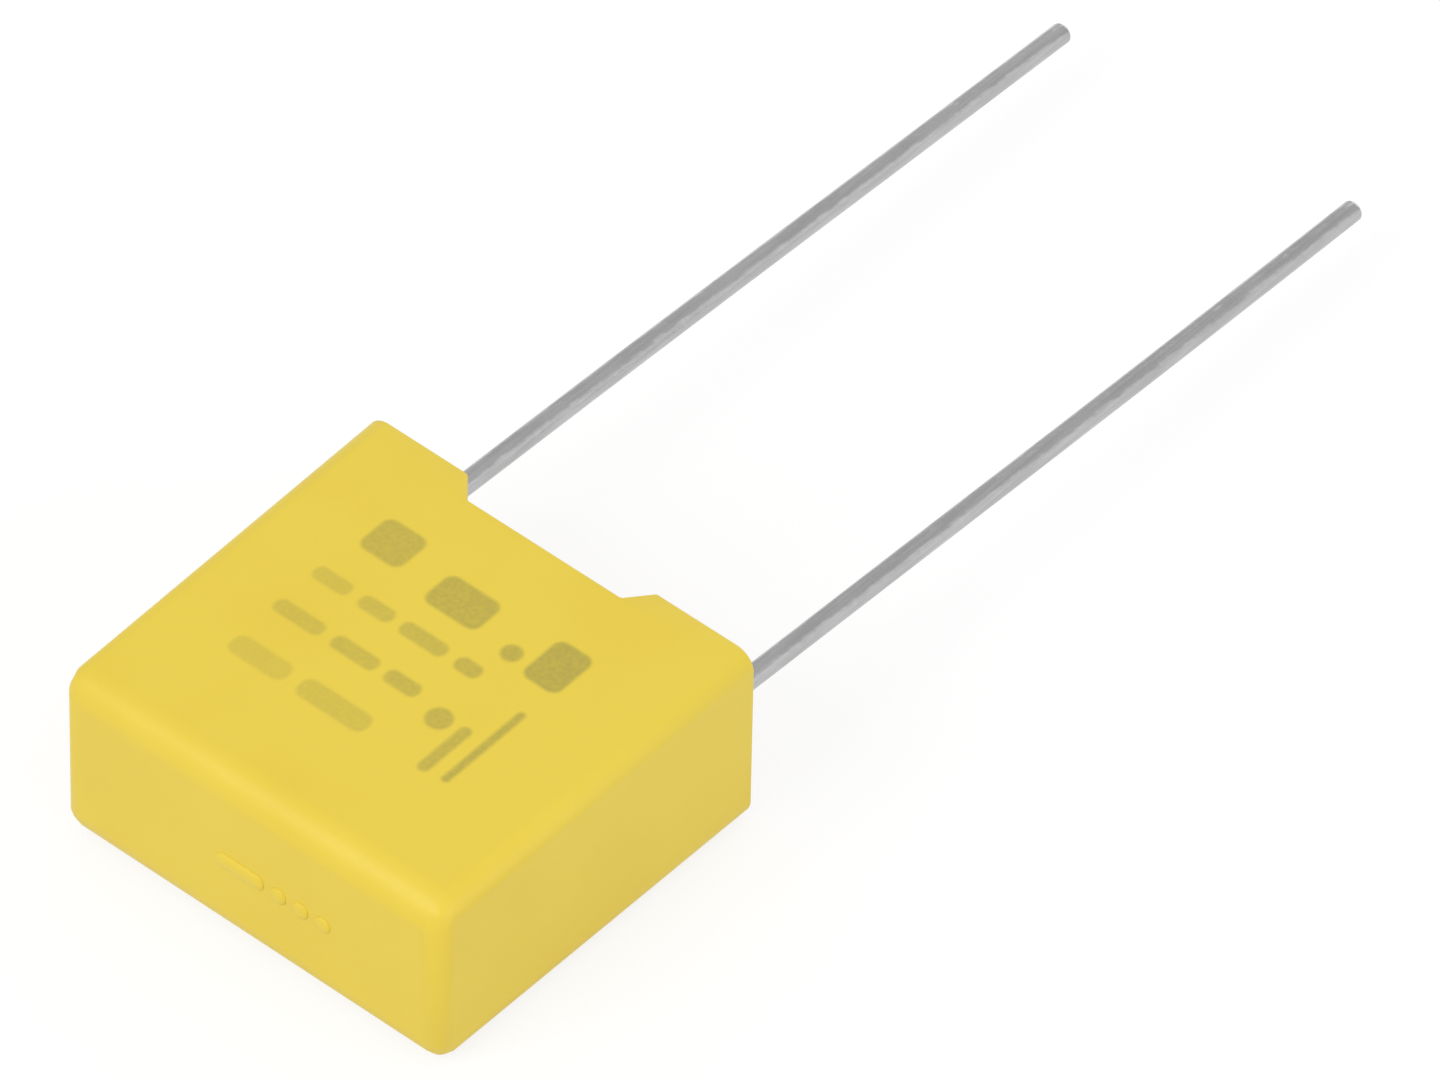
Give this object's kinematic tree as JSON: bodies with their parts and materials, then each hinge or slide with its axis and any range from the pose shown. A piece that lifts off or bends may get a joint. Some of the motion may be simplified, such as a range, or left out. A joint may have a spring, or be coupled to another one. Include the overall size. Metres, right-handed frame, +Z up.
{
  "type": "film capacitor",
  "caption": "Boxed film capacitor: a moulded yellow case with a notched rim, potted with resin around a film winding, on straight radial wire leads.",
  "frame": {"origin": "centre of the broad face that the case lies on, halfway between its closed end and its seating rim", "axes": "+Y along the leads towards their tips, X along the lead pitch, +Z up from the face that the case lies on"},
  "size_m": [0.013, 0.038, 0.006],
  "materials": {
    "case_plastic": "satin moulded yellow plastic",
    "potting_resin": "smooth cast resin with a soft gloss",
    "metallised_film": "wound metallised film",
    "sprayed_metal": "rough sprayed metal",
    "tinned_wire": "drawn wire with a satin tin coat"
  },
  "bodies": {
    "root": {"case": "case_plastic", "resin_fill": "potting_resin", "film_winding": "metallised_film", "end_spray_left": "sprayed_metal", "end_spray_right": "sprayed_metal", "lead_left": "tinned_wire", "lead_right": "tinned_wire"}
  },
  "joints": []
}
